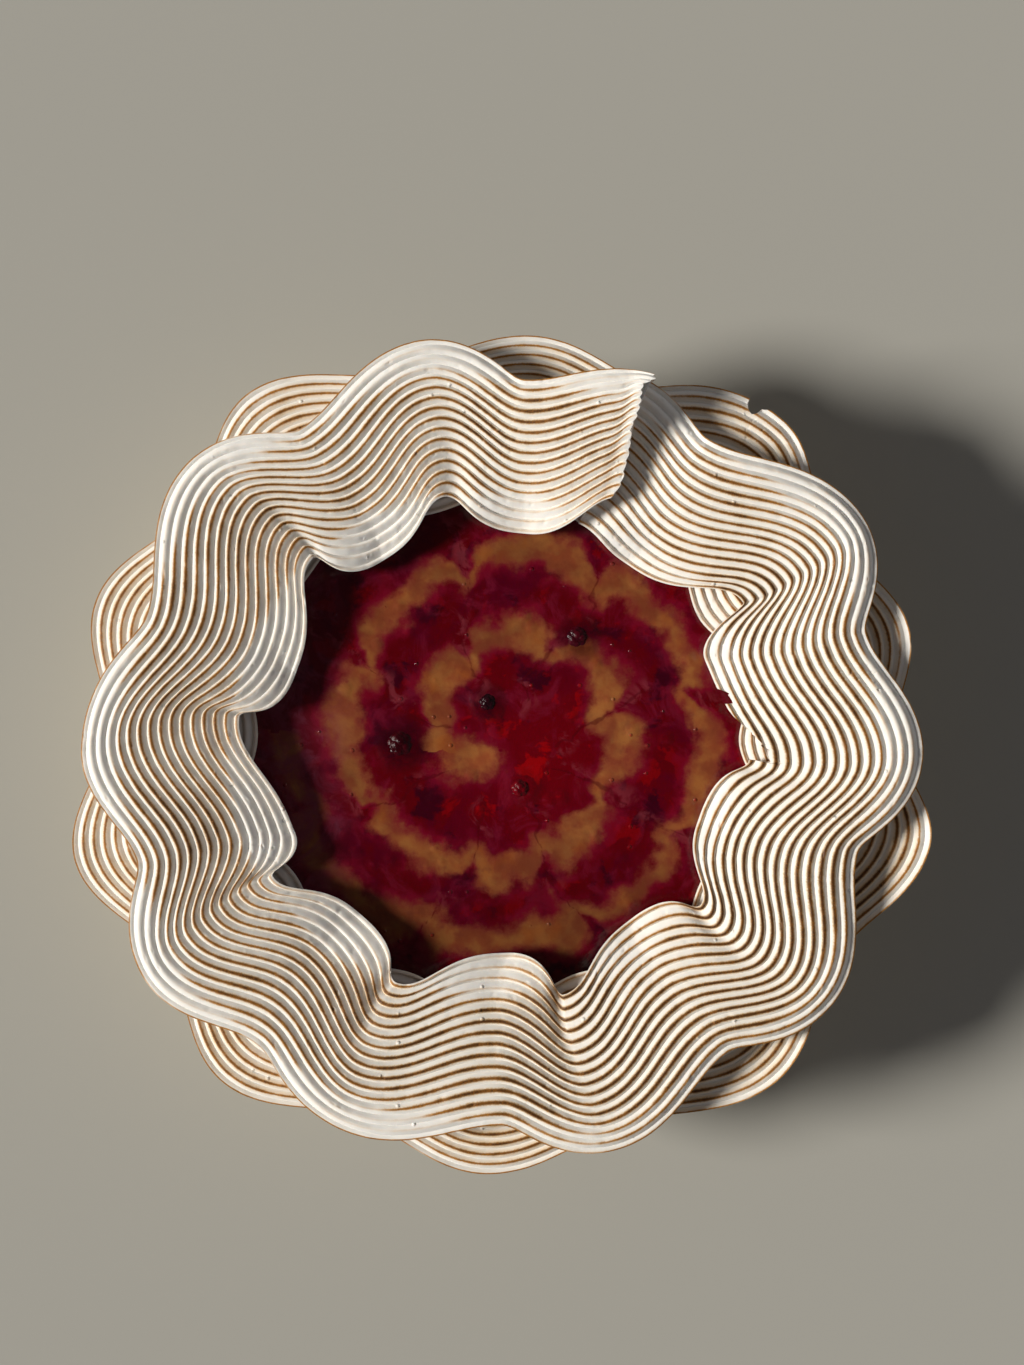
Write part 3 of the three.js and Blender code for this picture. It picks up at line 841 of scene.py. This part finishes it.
def berry_nearness(x, y, stained):
    """1 at a berry and 0 well away from all of them; if stained, less for a berry that stains little."""
    near = np.zeros(x.shape)
    for spot_x, spot_y, half, stain in BERRY_SPOTS:
        away = np.hypot(x - spot_x, y - spot_y) + 0.9 * rough_noise(x, y, 3.0, 51)
        near = np.maximum(near, smooth(half * 2.0, half * 0.8, away) * (stain if stained else 1))
    return near


def jelly_relief(x, y):
    relief = 0.10 * rough_noise(x, y, 5.5, 31) + BERRY_SWELL * berry_nearness(x, y, False)
    lumps = np.random.default_rng(37)
    for _ in range(LUMP_COUNT):
        spot = lumps.uniform(-62, 62, 2)
        size = lumps.uniform(*LUMP_SIZES)
        away = np.hypot(x - spot[0], y - spot[1]) / size
        relief = relief + LUMP_STEEPNESS * size * np.clip(1 - away**2, 0, 1) ** 1.3
    return relief


print(f"{len(BERRY_SPOTS)} berries and {LUMP_COUNT} lumps")

# %% [markdown]
# The jelly is one round sheet of rings and spokes with a wall down to its underside. A square grid would
# be simpler, but its rim would be stepped. The sheet also carries three fields of painted light: a painted
# glow a little right of the middle, painted shade that darkens the front, and, on the left under the
# ribbon's edge, a lighter veil painted into the shade for the sky's reflection, with milky strands in it.

# %% Build the jelly
RING_COUNT = 165
SPOKE_COUNT = 420
# The spot and reach below place a painted glow: jelly and curd are coloured lighter round it, as where
# light shines through.
PAINTED_GLOW_SPOT = (12.0, -3.0)
PAINTED_GLOW_REACH = 26.0
LEVEL_EDGE = 3
RELIEF_SINK = 0.12
rings = np.linspace(0.6, JELLY_RADIUS, RING_COUNT)
spokes = np.linspace(0, 2 * math.pi, SPOKE_COUNT, endpoint=False)
ring_grid, spoke_grid = np.meshgrid(rings, spokes, indexing="ij")
jelly_x = ring_grid * np.cos(spoke_grid)
jelly_y = ring_grid * np.sin(spoke_grid)
edge_fade = smooth(JELLY_RADIUS, JELLY_RADIUS - LEVEL_EDGE, ring_grid)
jelly_z = JELLY_TOP + edge_fade * (jelly_relief(jelly_x, jelly_y) - RELIEF_SINK)
curd_inside, skewer_gap = jelly_fields(jelly_x, jelly_y)
skewer_gap = skewer_gap + 3 * smooth(16, 8, ring_grid)
# Painted glow: 1 at the spot and falling off round it; it lightens the colours of the jelly and the curd.
bright = np.exp(-(np.hypot(jelly_x - PAINTED_GLOW_SPOT[0], jelly_y - PAINTED_GLOW_SPOT[1]) / PAINTED_GLOW_REACH) ** 2)
underside = jelly_low.z / MM
top_points = np.stack([jelly_x, jelly_y, jelly_z], axis=-1).reshape(-1, 3)
rim_points = np.stack([jelly_x[-1], jelly_y[-1], np.full(SPOKE_COUNT, underside)], axis=-1)
jelly_points = np.concatenate([top_points, rim_points, [[0, 0, JELLY_TOP], [0, 0, underside]]])
jelly_faces = grid_faces(RING_COUNT + 1, SPOKE_COUNT, True)
centre_index = len(jelly_points) - 2
last_ring = RING_COUNT * SPOKE_COUNT
for j in range(SPOKE_COUNT):
    after = (j + 1) % SPOKE_COUNT
    jelly_faces.append([centre_index, j, after])
    jelly_faces.append([centre_index + 1, last_ring + after, last_ring + j])


def with_rest(values, rest):
    """The top's values, and one number for all points of the wall's foot and the two middle points."""
    return np.concatenate([values.ravel(), np.full(SPOKE_COUNT + 2, rest)])


fields = {
    "curd": with_rest(curd_inside, -3.0),
    "skewer": with_rest(skewer_gap, 9.0),
    "fruit": with_rest(berry_nearness(jelly_x, jelly_y, True), 0.0),
    # Painted glow, stored for the finish.
    "bright": with_rest(bright, 0.0),
    # Painted shade: darker towards the front.
    "deep": with_rest(smooth(-15, -55, jelly_y), 0.0),
    # A lighter veil painted into the shade on the left, for the sky's reflection, with milky strands in it.
    "milky": with_rest(smooth(-36, -52, jelly_x), 0.0),
}
jelly = make_mesh("marbled_jelly", jelly_points, jelly_faces, fields)
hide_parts("jelly_top")
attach(jelly, "root")
print(f"jelly: {len(jelly.data.polygons)} faces, curd on {np.mean(curd_inside > 0):.0%} of its points")

# %% [markdown]
# ## The jelly's finish
#
# The jelly is nearly clear, so its colour comes from what lies in it: crimson where it is deep, vivid red
# where the light gets through, rose where it is thin over curd, dark where a berry is sunk. Glass with
# coloured lumps in it would be truer and would take many times as long to draw. A glossy skin over
# patches of colour, with some light let in, looks the same from outside.

# %% Colour of the jelly itself
CRIMSONS = [(0.078, 0.0002, 0.0078), (0.098, 0.0002, 0.0028)]
PAINTED_GLOW_CRIMSON = (0.144, 0.0003, 0.0040)
VIVID_REDS = [(0.150, 0.0004, 0.0030), (0.290, 0.0010, 0.0030)]
SUNK_FRUIT = (0.034, 0.0005, 0.0060)
HAZE = (0.20, 0.010, 0.032)
ROSE = (0.170, 0.0030, 0.0160)
WISP = (0.24, 0.032, 0.046)


def jelly_colour(n, edge, skewer, bright):
    depth = n.noise(60, 4.0, 0.58, 0.3)
    blotch = n.noise(120, 4.0, 0.58, 0.3)
    sunk = n.ramp(n.noise(80, 5.0, 0.60, 0.3), 0.56, 0.64, 0.0, 0.9)
    haze = n.times(n.ramp(n.noise(95, 6.0, 0.66, 0.8), 0.48, 0.68), 0.5)
    # Beside the curd the jelly is thin over it, so it glows rose.
    thin = n.ramp(n.noise(120, 4.0, 0.6), 0.42, 0.58, 0.2, 1.0)
    thin = n.times(n.ramp(edge, -4.6, -0.5), thin)
    # Pale wisps of curd are drawn out beside a skewer line.
    wisp = n.ramp(n.noise(150, 4.0, 0.6, 0.6), 0.50, 0.64)
    wisp = n.times(n.ramp(skewer, 0.3, 4.5, 1.0, 0.0), wisp)
    colour = n.blend(n.ramp(depth, 0.40, 0.54), *CRIMSONS)
    # Painted glow: the crimson and the vivid red are lighter round the glow spot.
    colour = n.blend(bright, colour, PAINTED_GLOW_CRIMSON)
    colour = n.blend(n.ramp(blotch, 0.56, 0.63), colour, n.blend(bright, *VIVID_REDS))
    colour = n.blend(sunk, colour, SUNK_FRUIT)
    colour = n.blend(haze, colour, HAZE)
    colour = n.blend(thin, colour, ROSE)
    return n.blend(n.times(wisp, 0.55), colour, WISP)


print(f"{len(CRIMSONS) + len(VIVID_REDS) + 5} reds for the jelly")

# %% [markdown]
# The curd is ochre, golden in places and reddened at its edge, where it has mixed with the jelly. It is
# mottled, and a few specks of fruit show in it. Round the glow spot it is painted lighter, and away from
# it darker.

# %% Colour of the curd
OCHRES = [(0.250, 0.060, 0.023), (0.305, 0.108, 0.032)]
ORANGE = (0.320, 0.084, 0.017)
PAINTED_GLOW_BRIGHTENING = [(0.84, 0.84, 0.84), (1.16, 1.16, 1.16)]
MOTTLING = [(0.84, 0.82, 0.86), (1.20, 1.24, 1.12)]
REDDENED = (0.200, 0.024, 0.022)
SPECK = (0.160, 0.030, 0.024)


def curd_colour(n, edge, bright):
    golden = n.ramp(n.noise(150, 3.0, 0.55), 0.38, 0.64)
    mottle = n.ramp(n.noise(75, 5.0, 0.62, 0.3), 0.36, 0.66)
    colour = n.blend(golden, *OCHRES)
    colour = n.blend(n.ramp(n.noise(90, 3.0, 0.6), 0.52, 0.72, 0.0, 0.6), colour, ORANGE)
    # Painted glow: the curd is lighter round the glow spot and darker away from it.
    colour = n.blend(1.0, colour, n.blend(bright, *PAINTED_GLOW_BRIGHTENING), "MULTIPLY")
    colour = n.blend(1.0, colour, n.blend(mottle, *MOTTLING), "MULTIPLY")
    colour = n.blend(n.ramp(edge, 0.0, 3.2, 0.6, 0.0), colour, REDDENED)
    return n.blend(n.ramp(n.noise(260, 3.0, 0.6), 0.60, 0.76, 0.0, 0.35), colour, SPECK)


print(f"{len(OCHRES) + 3} colours for the curd")

# %% [markdown]
# Last come the seeds, the dark skewer lines, painted shade that darkens the front, a lighter veil painted
# into the shade on the left for the sky's reflection, with milky strands in it where meringue has wept
# in, and the dark round each berry. The surface is wet and a little uneven, and each seed lifts it.

# %% Jelly material
SEED_RED = (0.32, 0.004, 0.004)
LINE_RED = (0.075, 0.0012, 0.004)
PAINTED_FRONT_SHADE_RED = (0.020, 0.0004, 0.0012)
MILK_AND_SHADE_VEIL_RED = (0.190, 0.032, 0.060)
BERRY_RED = (0.034, 0.0006, 0.0040)
FRUIT_IOR = 1.37
FRUIT_GLOW = (1.0, 0.25, 0.2)


def scattered_seeds(n):
    """1 on a seed, and the share of it that is coloured red."""
    gap, random = n.dots(230.0)
    seed = n.times(n.ramp(gap, 0.07, 0.15, 1.0, 0.0), n.ramp(random[0], 0.80, 0.82))
    return seed, n.times(seed, n.ramp(random[1], 0.4, 0.6, 0.1, 0.7))


def jelly_material():
    n = Nodes("glossy_marbled_jelly")
    bright = n.field("bright")
    skewer = n.field("skewer")
    ragged = n.scale(n.noise(190, 6.0, 0.66), 7.6, -3.8)
    edge = n.plus(n.field("curd"), ragged)
    curd = n.math("POWER", n.ramp(edge, -1.8, 1.7), 1.3)
    colour = n.blend(curd, jelly_colour(n, edge, skewer, bright), curd_colour(n, edge, bright))
    seed, red_seed = scattered_seeds(n)
    colour = n.blend(red_seed, colour, SEED_RED)
    wander = n.scale(n.noise(300, 2.0), 0.8, -0.4)
    line = n.ramp(n.plus(skewer, wander), 0.1, 0.5, 0.55, 0.0)
    colour = n.blend(line, colour, LINE_RED)
    # Painted shade: the jelly is darkened towards the front.
    colour = n.blend(n.times(n.field("deep"), 0.34), colour, PAINTED_FRONT_SHADE_RED)
    # A lighter, purplish veil painted into the shade on the left, standing in for the sky's reflection
    # there; its noise also draws milky strands where meringue has wept in.
    milk = n.ramp(n.noise(80, 6.0, 0.68, 0.9), 0.42, 0.64, 0.15, 0.8)
    colour = n.blend(n.times(n.field("milky"), milk), colour, MILK_AND_SHADE_VEIL_RED)
    fruit = n.times(n.field("fruit"), n.ramp(n.noise(350, 3.0), 0.3, 0.6, 0.6, 1.0))
    colour = n.blend(n.times(fruit, 0.9), colour, BERRY_RED)
    n.set("Base Color", colour)
    n.set("Roughness", n.ramp(n.noise(500, 2.0), 0.3, 0.7, 0.10, 0.18))
    n.set("IOR", FRUIT_IOR)
    n.soften(0.5, FRUIT_GLOW, 1.4)
    relief = n.plus(n.noise(330, 3.0, 0.5), n.times(n.noise(1300, 3.0), 0.40))
    n.set("Normal", n.bump(seed, 1.0, 0.35, n.bump(relief, 0.36, 0.24)))
    return n.material


wear(jelly, jelly_material())

# %% [markdown]
# ## The berries
#
# Four berries stand a little out of the jelly. Each is a cluster of round cells, so its surface is the
# upper hull of small balls spread evenly over an egg shape. Real balls would hide most of their faces
# inside each other. So the balls' middles lie on a golden-angle spiral, a little shaken, and every point
# of one fine sphere is pushed out to the ball nearest to it.

# %% Shape of a berry
BERRY_SINK = 0.35
BERRY_STACKS = 60
BERRY_SLICES = 96
CELL_COUNT = 46
CELL_RADIUS = 1.9 / math.sqrt(CELL_COUNT)
CELL_SHAKE = 0.05
CELL_BULGE = 0.08
CREASE_ANGLE = 80


def cell_middles(seed):
    k = np.arange(CELL_COUNT) + 0.5
    height = 1 - 2 * k / CELL_COUNT
    golden = k * math.pi * (3 - math.sqrt(5))
    ring = np.sqrt(1 - height**2)
    middles = np.stack([ring * np.cos(golden), ring * np.sin(golden), height], axis=-1)
    middles = middles + CELL_SHAKE * np.random.default_rng(seed).normal(size=middles.shape)
    return middles / np.linalg.norm(middles, axis=1, keepdims=True)


def berry_mesh(name, node, seed):
    low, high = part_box(node)
    centre = [(a + b) / 2 / MM for a, b in zip(low, high)]
    half = [(b - a) / 2 / MM for a, b in zip(low, high)]
    downward = np.linspace(0, math.pi, BERRY_STACKS + 1)
    round_about = np.linspace(0, 2 * math.pi, BERRY_SLICES, endpoint=False)
    polar, around = np.meshgrid(downward, round_about, indexing="ij")
    way = np.stack([np.sin(polar) * np.cos(around), np.sin(polar) * np.sin(around), np.cos(polar)], axis=-1)
    nearness = way.reshape(-1, 3) @ cell_middles(seed).T
    apart = np.arccos(np.clip(nearness.max(axis=1), -1, 1))
    bulge = np.sqrt(np.clip(1 - (apart / CELL_RADIUS) ** 2, 0.02, 1))
    size = mix(1 - CELL_BULGE, 1, bulge).reshape(polar.shape)
    points = way * size[..., None] * np.array(half) + np.array(centre) - [0, 0, BERRY_SINK]
    faces = grid_faces(BERRY_STACKS + 1, BERRY_SLICES, True)
    # between is 1 in the creases between cells; the skin's finish paints shade there.
    piece = make_mesh(name, points.reshape(-1, 3), faces, {"between": 1 - bulge}, sharp_angle=CREASE_ANGLE)
    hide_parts(node)
    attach(piece, "root")
    return piece


print(f"a berry's cell reaches {math.degrees(CELL_RADIUS):.0f} degrees round its middle")

# %% [markdown]
# The skin is dark and shiny, with painted shade that darkens it between the cells. The berries' colours
# run from nearly black to the red of the lowest one.

# %% Build the berries
FIRST_BERRY_SEED = 71
BERRY_COLOURS = [
    ("berry_left", (0.022, 0.0004, 0.0024), (0.046, 0.0006, 0.0036)),
    ("berry_upper", (0.026, 0.0006, 0.0036), (0.062, 0.0010, 0.0060)),
    ("berry_middle", (0.014, 0.0014, 0.0036), (0.036, 0.0020, 0.0060)),
    ("berry_lower", (0.085, 0.0004, 0.0036), (0.150, 0.0006, 0.0050)),
]


def berry_material(name, dark, light):
    n = Nodes(name)
    shade = n.noise(320, 3.0)
    colour = n.blend(n.ramp(shade, 0.35, 0.68), dark, light)
    # Painted shade: the skin is darkened in the creases between the cells.
    colour = n.blend(n.ramp(n.field("between"), 0.45, 0.95, 0.0, 0.6), colour, dark)
    n.set("Base Color", colour)
    n.set("Roughness", n.ramp(shade, 0.3, 0.7, 0.14, 0.26))
    n.set("IOR", FRUIT_IOR)
    n.set("Specular IOR Level", 0.3)
    n.soften(0.3, FRUIT_GLOW, 1.5)
    n.set("Normal", n.bump(n.noise(1100, 3.0, 0.6), 0.8, 0.30))
    return n.material


for number, (node, dark, light) in enumerate(BERRY_COLOURS):
    berry = berry_mesh(node + "_cells", node, FIRST_BERRY_SEED + number)
    wear(berry, berry_material(node + "_skin", dark, light))
print(f"{len(BERRY_COLOURS)} berries of {CELL_COUNT} cells")

# %% [markdown]
# ## The baked side
#
# The photograph doesn't show the drum's side, so it is finished as such a cake bakes: pale cream,
# slightly uneven, with fine pores, a faint waist of browning near the top where it met the tin, and a
# soft lower edge. A bevelled cylinder would be quicker, but its wall would be perfectly smooth. So a
# profile is turned round the cake's axis, from the middle underneath up the side and down into the
# jelly's seat, and noise pushes its wall in a little.

# %% Build the drum
DRUM_STEPS = 300
WALL_ROWS = 36
FOOT_RING = 60.0
FOOT_EDGE = [(1.6, 0.0), (0.7, 0.25), (0.2, 0.9)]
FOOT_HEIGHT = 2.0
ROUND_TOP = 3.0
TOP_RING = 82.0
SEAT_RADIUS = 70.0
SEAT_RING = 30.0
UNEVENNESS = 0.35
WALL_RADIUS = 96


def drum_profile():
    """Radius and height of each ring of points, in mm."""
    seat = jelly_low.z / MM - FIT_GAP
    profile = [(0.0, 0.0), (FOOT_RING, 0.0)]
    profile += [(CAKE_RADIUS - inset, z) for inset, z in FOOT_EDGE]
    profile += [(CAKE_RADIUS, z) for z in np.linspace(FOOT_HEIGHT, CAKE_HEIGHT - ROUND_TOP, WALL_ROWS)]
    for turn in np.linspace(0.2, 1, 6) * math.pi / 2:
        inset = ROUND_TOP * (1 - math.cos(turn))
        profile.append((CAKE_RADIUS - inset, CAKE_HEIGHT - ROUND_TOP + ROUND_TOP * math.sin(turn)))
    profile += [(TOP_RING, CAKE_HEIGHT), (SEAT_RADIUS, CAKE_HEIGHT)]
    return profile + [(SEAT_RADIUS, seat), (SEAT_RING, seat), (0.0, seat)]


def drum_mesh():
    radius, height = np.array(drum_profile()).T[:, :, None]
    around = np.linspace(0, 2 * math.pi, DRUM_STEPS, endpoint=False)[None, :]
    height = height + 0 * around
    uneven = UNEVENNESS * (rough_noise(around * WALL_RADIUS, height, 14, 41) - 1)
    out = radius + uneven * smooth(90, 94, radius)
    points = np.stack([out * np.cos(around), out * np.sin(around), height], axis=-1)
    faces = grid_faces(len(radius), DRUM_STEPS, True)
    flipped = [list(reversed(face)) for face in faces]
    return make_mesh("cake_drum", points.reshape(-1, 3), flipped, {"level": height / CAKE_HEIGHT})


drum = drum_mesh()
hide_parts("cheesecake_body")
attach(drum, "root")
print(f"drum: {len(drum.data.polygons)} faces")

# %% Finish of the baked side
CREAMS = [(0.80, 0.66, 0.41), (0.86, 0.74, 0.50)]
BROWNED_WAIST = (0.60, 0.35, 0.13)
BROWNED_FOOT = (0.62, 0.40, 0.18)
DARK_CRUMB = (0.70, 0.52, 0.29)


def baked_material():
    n = Nodes("baked_cheese")
    level = n.field("level")
    patch = n.noise(38, 4.0, 0.6)
    crumb = n.noise(420, 3.0, 0.6)
    colour = n.blend(n.ramp(patch, 0.35, 0.7), *CREAMS)
    high = n.ramp(n.scale(patch, 0.1, level), 0.90, 1.04)
    colour = n.blend(n.times(high, 0.75), colour, BROWNED_WAIST)
    low = n.ramp(n.scale(patch, -0.06, level), -0.02, 0.10, 1.0, 0.0)
    colour = n.blend(n.times(low, 0.5), colour, BROWNED_FOOT)
    colour = n.blend(n.ramp(crumb, 0.55, 0.75, 0.0, 0.3), colour, DARK_CRUMB)
    n.set("Base Color", colour)
    n.set("Roughness", n.ramp(crumb, 0.3, 0.7, 0.6, 0.8))
    pore_gap, _ = n.dots(520.0)
    pit = n.ramp(pore_gap, 0.0, 0.35)
    n.set("Normal", n.bump(n.scale(pit, 0.6, crumb), 0.5, 0.3))
    return n.material


wear(drum, baked_material())

# %% [markdown]
# ## Floor, light and camera
#
# The cake stands on a plain pale floor and is seen from straight above. One low, slightly soft light
# comes from the left, so the ridges throw their shadows to the right, and a dim even light fills the
# shade. The camera's place follows from the picture: its middle lies above a point a little right of and
# beyond the cake's centre.

# %% Floor
FLOOR_SIZE = 3.0
FLOOR_COLOUR = (0.405, 0.395, 0.357, 1)
bpy.ops.mesh.primitive_plane_add(size=FLOOR_SIZE, location=(0, 0, 0))
floor = bpy.context.object
floor.name = "floor"
floor_finish = Nodes("plain_pale_floor")
floor_finish.set("Base Color", FLOOR_COLOUR)
floor_finish.set("Roughness", 0.8)
floor_finish.set("Specular IOR Level", 0.2)
wear(floor, floor_finish.material)

# %% Light
SUN_ELEVATION = math.radians(34)
SUN_AZIMUTH = math.radians(182)
SUN_SOFTNESS = math.radians(15)
SUN_STRENGTH = 4.0
SUN_COLOUR = (1.0, 0.965, 0.90)
sun_data = bpy.data.lights.new("low_light", "SUN")
sun_data.energy = SUN_STRENGTH
sun_data.angle = SUN_SOFTNESS
sun_data.color = SUN_COLOUR
sun = bpy.data.objects.new("low_light", sun_data)
sun.rotation_euler = (0, math.pi / 2 - SUN_ELEVATION, SUN_AZIMUTH)
bpy.context.scene.collection.objects.link(sun)
print(f"the light stands {math.degrees(SUN_ELEVATION):.0f} degrees above the floor")

# %% [markdown]
# The even light comes from round about and hardly from overhead. The jelly mirrors what is above it, so
# this keeps its colour deep.

# %% Even light
HORIZON_STRENGTH = 0.32
OVERHEAD_STRENGTH = 0.03
EVEN_COLOUR = (0.97, 0.96, 1.0, 1)
world = bpy.data.worlds.new("even_light")
world.use_nodes = True
sky = world.node_tree
way = sky.nodes.new("ShaderNodeTexCoord")
parts = sky.nodes.new("ShaderNodeSeparateXYZ")
sky.links.new(way.outputs["Generated"], parts.inputs[0])
level = sky.nodes.new("ShaderNodeMapRange")
level.inputs["To Min"].default_value = HORIZON_STRENGTH
level.inputs["To Max"].default_value = OVERHEAD_STRENGTH
sky.links.new(parts.outputs["Z"], level.inputs["Value"])
sky.links.new(level.outputs["Result"], sky.nodes["Background"].inputs["Strength"])
sky.nodes["Background"].inputs["Color"].default_value = EVEN_COLOUR
bpy.context.scene.world = world
bpy.context.scene.view_settings.view_transform = "Standard"
print(f"even light: {HORIZON_STRENGTH} from the sides, {OVERHEAD_STRENGTH} from overhead")

# %% Camera
PICTURE_WIDTH = 1024
PICTURE_HEIGHT = 1365
MM_PER_PIXEL = 0.26
CAKE_CENTRE_PIXEL = (500, 752)
RIBBON_LEVEL = 60.0
CAMERA_DISTANCE = 560.0
SENSOR_WIDTH = 36
SIGHT_LIMIT = 10
look_x = (PICTURE_WIDTH / 2 - CAKE_CENTRE_PIXEL[0]) * MM_PER_PIXEL
look_y = (CAKE_CENTRE_PIXEL[1] - PICTURE_HEIGHT / 2) * MM_PER_PIXEL
camera_data = bpy.data.cameras.new("camera")
camera_data.sensor_fit = "HORIZONTAL"
camera_data.sensor_width = SENSOR_WIDTH
camera_data.lens = SENSOR_WIDTH * CAMERA_DISTANCE / (PICTURE_WIDTH * MM_PER_PIXEL)
camera_data.clip_end = SIGHT_LIMIT
camera = bpy.data.objects.new("camera", camera_data)
camera.location = (look_x * MM, look_y * MM, (RIBBON_LEVEL + CAMERA_DISTANCE) * MM)
bpy.context.scene.collection.objects.link(camera)
bpy.context.scene.camera = camera
print(f"camera {CAMERA_DISTANCE:.0f} mm above the ribbons, lens {camera_data.lens:.1f} mm")

# %% [markdown]
